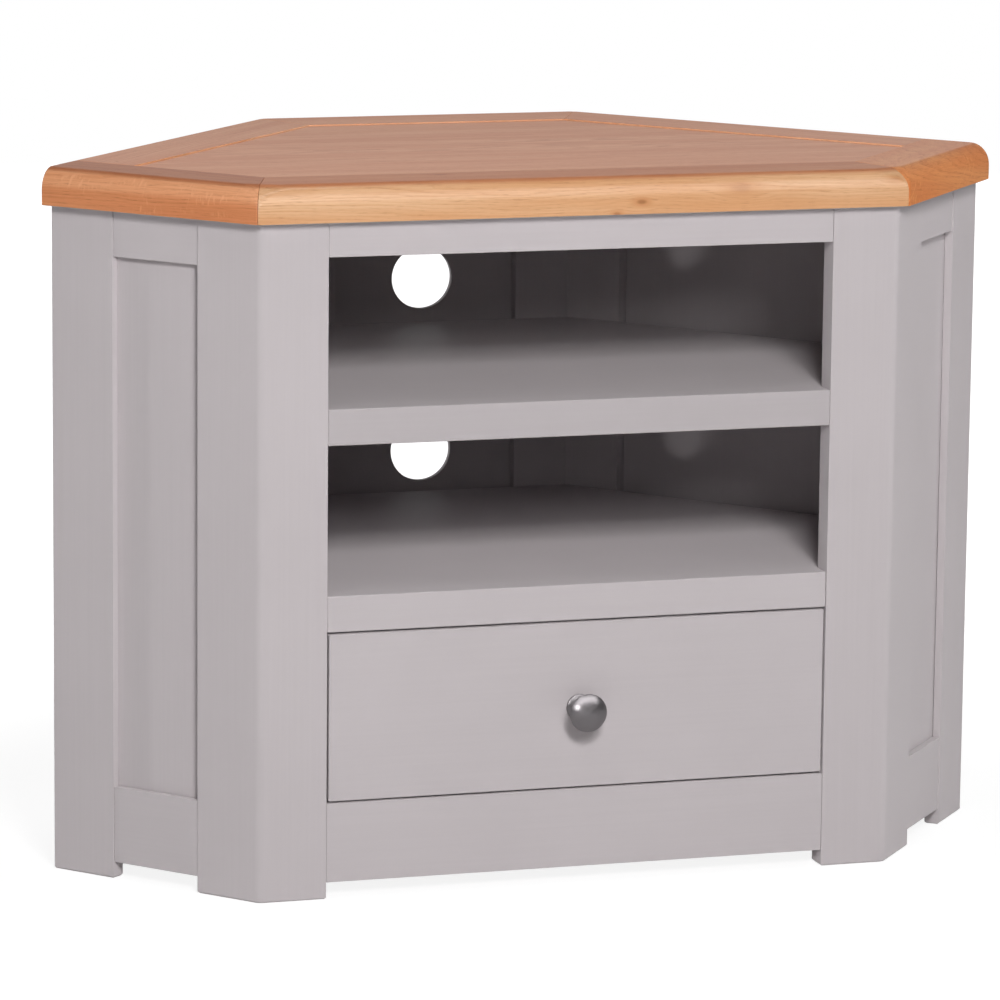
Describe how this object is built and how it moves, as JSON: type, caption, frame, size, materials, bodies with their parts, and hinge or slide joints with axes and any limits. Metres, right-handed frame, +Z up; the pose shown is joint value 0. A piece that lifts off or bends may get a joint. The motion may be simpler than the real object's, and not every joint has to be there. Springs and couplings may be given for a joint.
{
  "type": "corner tv cabinet",
  "caption": "Corner TV cabinet: painted six-sided carcass with open shelves, an inset drawer with a steel knob, rear cable holes and a framed oak top.",
  "frame": {"origin": "on the floor, under the middle of the whole in plan, halfway between the knob's tip and the top's back edge", "axes": "+X to the right seen from the front, +Y towards the room's corner, +Z up"},
  "size_m": [0.8482, 0.519, 0.6],
  "materials": {
    "painted_wood": "satin grey paint",
    "oak": "satin lacquer",
    "bare_wood": "planed, unfinished",
    "brushed_steel": "satin brushed",
    "zinc_steel": "zinc plated"
  },
  "bodies": {
    "cabinet": {"front_left_post": "painted_wood", "front_right_post": "painted_wood", "outer_left_post": "painted_wood", "outer_right_post": "painted_wood", "back_left_post": "painted_wood", "back_right_post": "painted_wood", "front_top_rail": "painted_wood", "front_apron": "painted_wood", "upper_shelf": "painted_wood", "lower_shelf": "painted_wood", "right_side_top_rail": "painted_wood", "right_side_bottom_rail": "painted_wood", "right_side_panel": "painted_wood", "left_side_top_rail": "painted_wood", "left_side_bottom_rail": "painted_wood", "left_side_panel": "painted_wood", "right_back_top_rail": "painted_wood", "right_back_bottom_rail": "painted_wood", "right_back_panel": "painted_wood", "left_back_top_rail": "painted_wood", "left_back_bottom_rail": "painted_wood", "left_back_panel": "painted_wood", "back_top_rail": "painted_wood", "back_bottom_rail": "painted_wood", "back_panel": "painted_wood", "upper_right_shelf_cleat": "painted_wood", "upper_left_shelf_cleat": "painted_wood", "lower_right_shelf_cleat": "painted_wood", "lower_left_shelf_cleat": "painted_wood", "top_centre_panel": "oak", "top_front_rail": "oak", "top_left_rail": "oak", "top_right_rail": "oak", "top_left_back_rail": "oak", "top_right_back_rail": "oak", "top_back_rail": "oak", "front_left_fixing_block": "bare_wood", "front_right_fixing_block": "bare_wood", "right_side_fixing_block": "bare_wood", "left_side_fixing_block": "bare_wood", "back_fixing_block": "bare_wood", "right_drawer_runner": "bare_wood", "left_drawer_runner": "bare_wood", "right_drawer_stop": "bare_wood", "left_drawer_stop": "bare_wood", "front_left_fixing_screw": "zinc_steel", "front_right_fixing_screw": "zinc_steel", "right_side_fixing_screw": "zinc_steel", "left_side_fixing_screw": "zinc_steel", "back_fixing_screw": "zinc_steel"},
    "drawer": {"drawer_front": "painted_wood", "drawer_right_side": "bare_wood", "drawer_left_side": "bare_wood", "drawer_back": "bare_wood", "drawer_bottom": "bare_wood", "drawer_knob": "brushed_steel", "knob_screw": "zinc_steel"}
  },
  "joints": [
    {"name": "drawer_slide", "type": "slide", "parent": "cabinet", "child": "drawer", "axis": [0, -1, 0], "range_m": [0, 0.2]}
  ]
}
